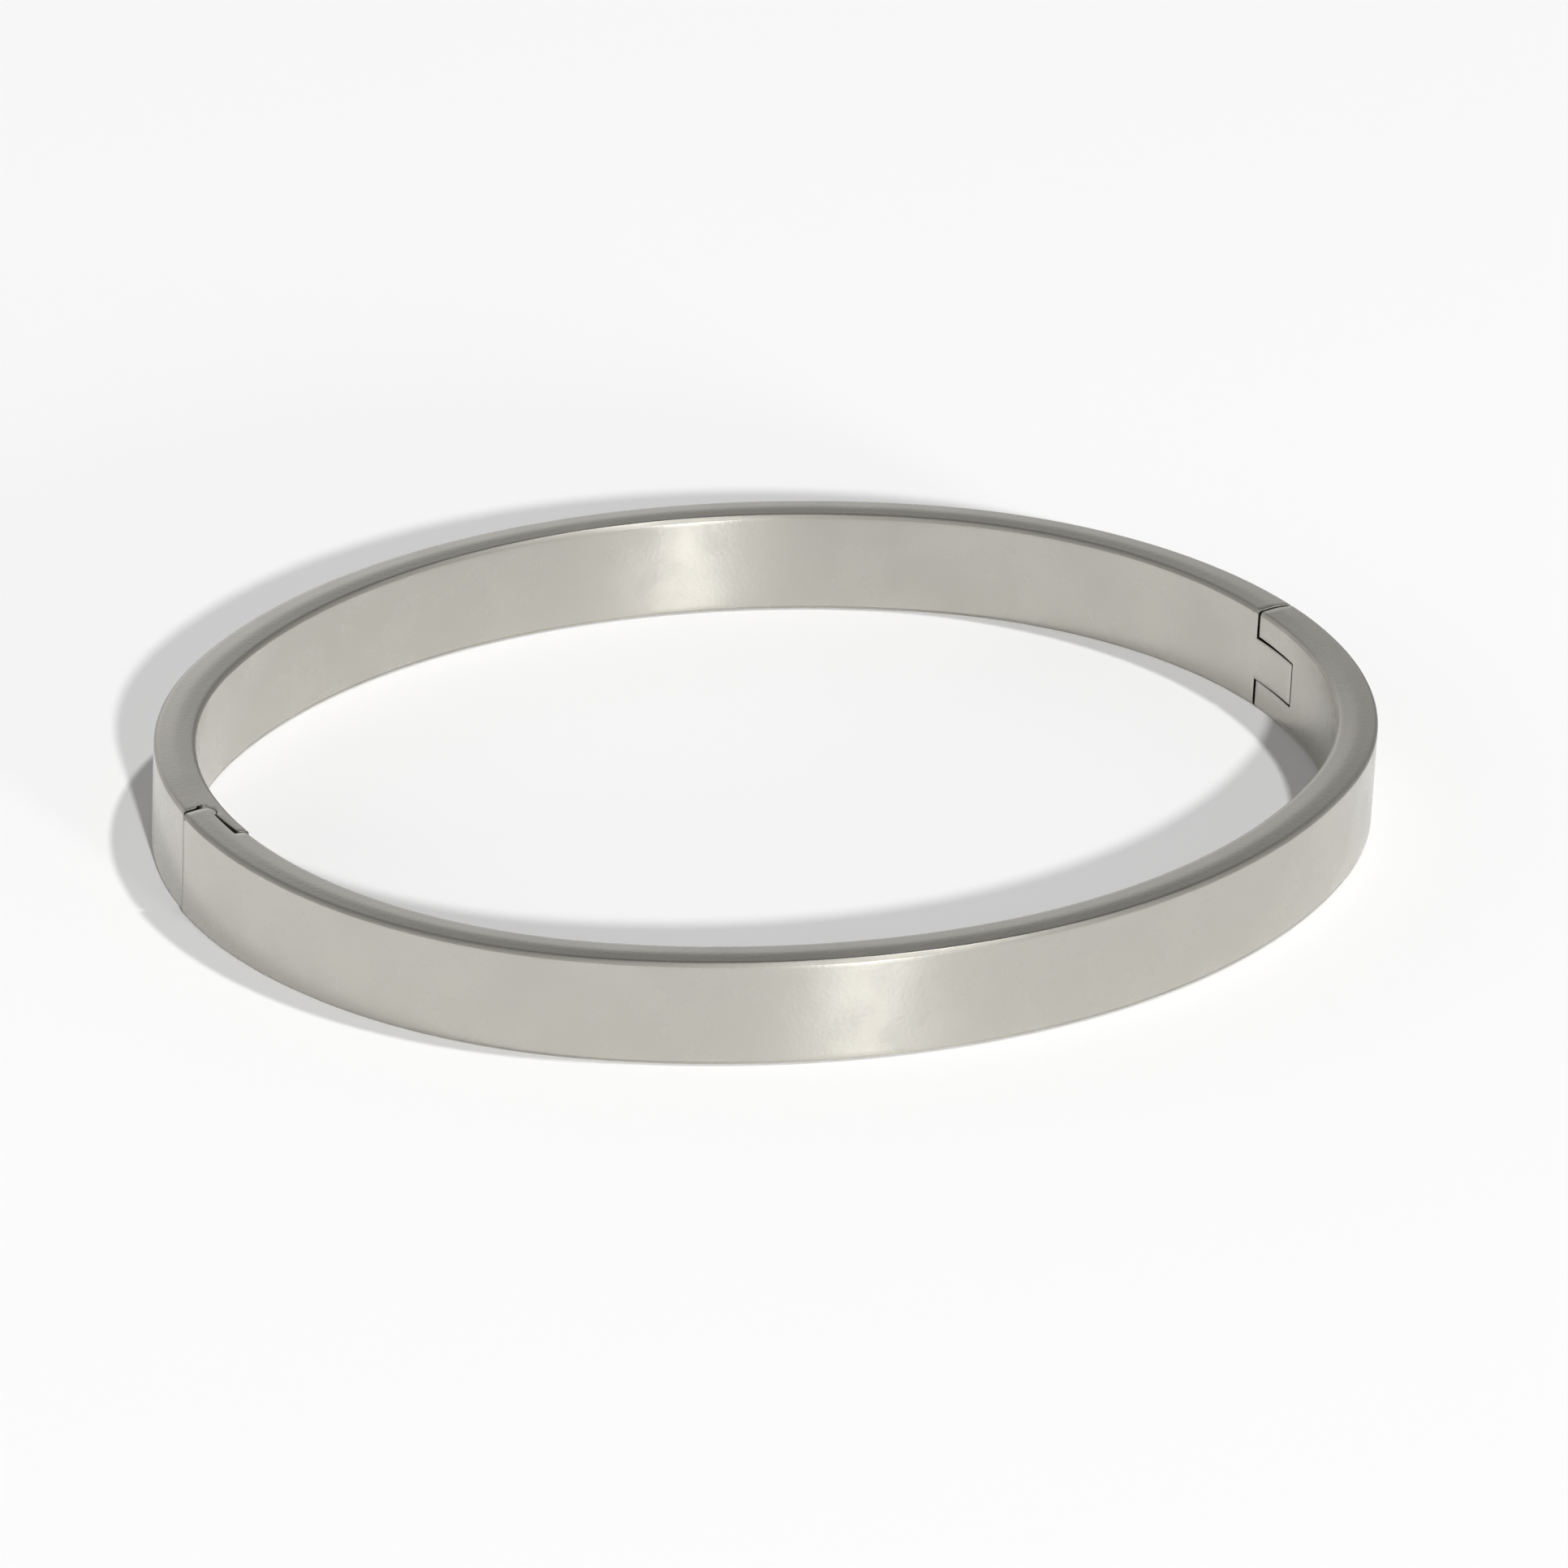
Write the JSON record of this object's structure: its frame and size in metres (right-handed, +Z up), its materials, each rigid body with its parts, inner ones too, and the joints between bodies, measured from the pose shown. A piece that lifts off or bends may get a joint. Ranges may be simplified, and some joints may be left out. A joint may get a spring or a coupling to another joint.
{
  "type": "hinged bangle bracelet",
  "caption": "Oval hinged bangle of plain polished steel band, with a knuckle hinge at one end and a snap lap clasp at the other.",
  "frame": {"origin": "middle of the closed oval, half way up the band", "axes": "+Z up along the band's height and the hinge pin, +X along the oval's long axis from clasp to hinge, +Y towards the back half"},
  "size_m": [0.064, 0.0534, 0.0054],
  "materials": {
    "polished_steel": "hand polished, with faint orange peel",
    "pin_steel": "ground flush"
  },
  "bodies": {
    "back": {"back_half": "polished_steel"},
    "front": {"front_half": "polished_steel", "hinge_pin": "pin_steel"}
  },
  "joints": [
    {"name": "hinge_swing", "type": "hinge", "parent": "back", "child": "front", "pos_m": [0.03112, -0.0021, 0], "axis": [0, 0, 1], "range_deg": [0, 60]}
  ]
}
